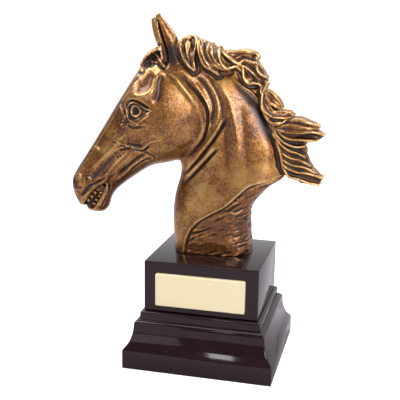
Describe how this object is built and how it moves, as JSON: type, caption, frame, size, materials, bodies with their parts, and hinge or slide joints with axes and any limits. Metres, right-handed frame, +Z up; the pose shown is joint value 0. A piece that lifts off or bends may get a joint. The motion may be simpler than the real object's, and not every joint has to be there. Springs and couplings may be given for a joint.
{
  "type": "horse head trophy",
  "caption": "Antique-gold cast horse head with a flying mane, mounted on a stepped, moulded dark gloss plinth with a blank plate.",
  "frame": {"origin": "centre of the plinth's underside, on the ground", "axes": "+Z up; the horse looks towards -X; the plate and the nearer side of the head face -Y"},
  "size_m": [0.168, 0.0944, 0.23],
  "materials": {
    "plinth_lacquer": "very dark brown high-gloss lacquer over wood",
    "plate_metal": "pale gold anodised, satin mirror, blank",
    "antique_gold": "cast resin painted metallic gold, dark patina in the hollows, clear gloss"
  },
  "bodies": {
    "root": {"moulded_base": "plinth_lacquer", "plinth_block": "plinth_lacquer", "engraving_plate": "plate_metal", "horse_head": "antique_gold"}
  },
  "joints": []
}
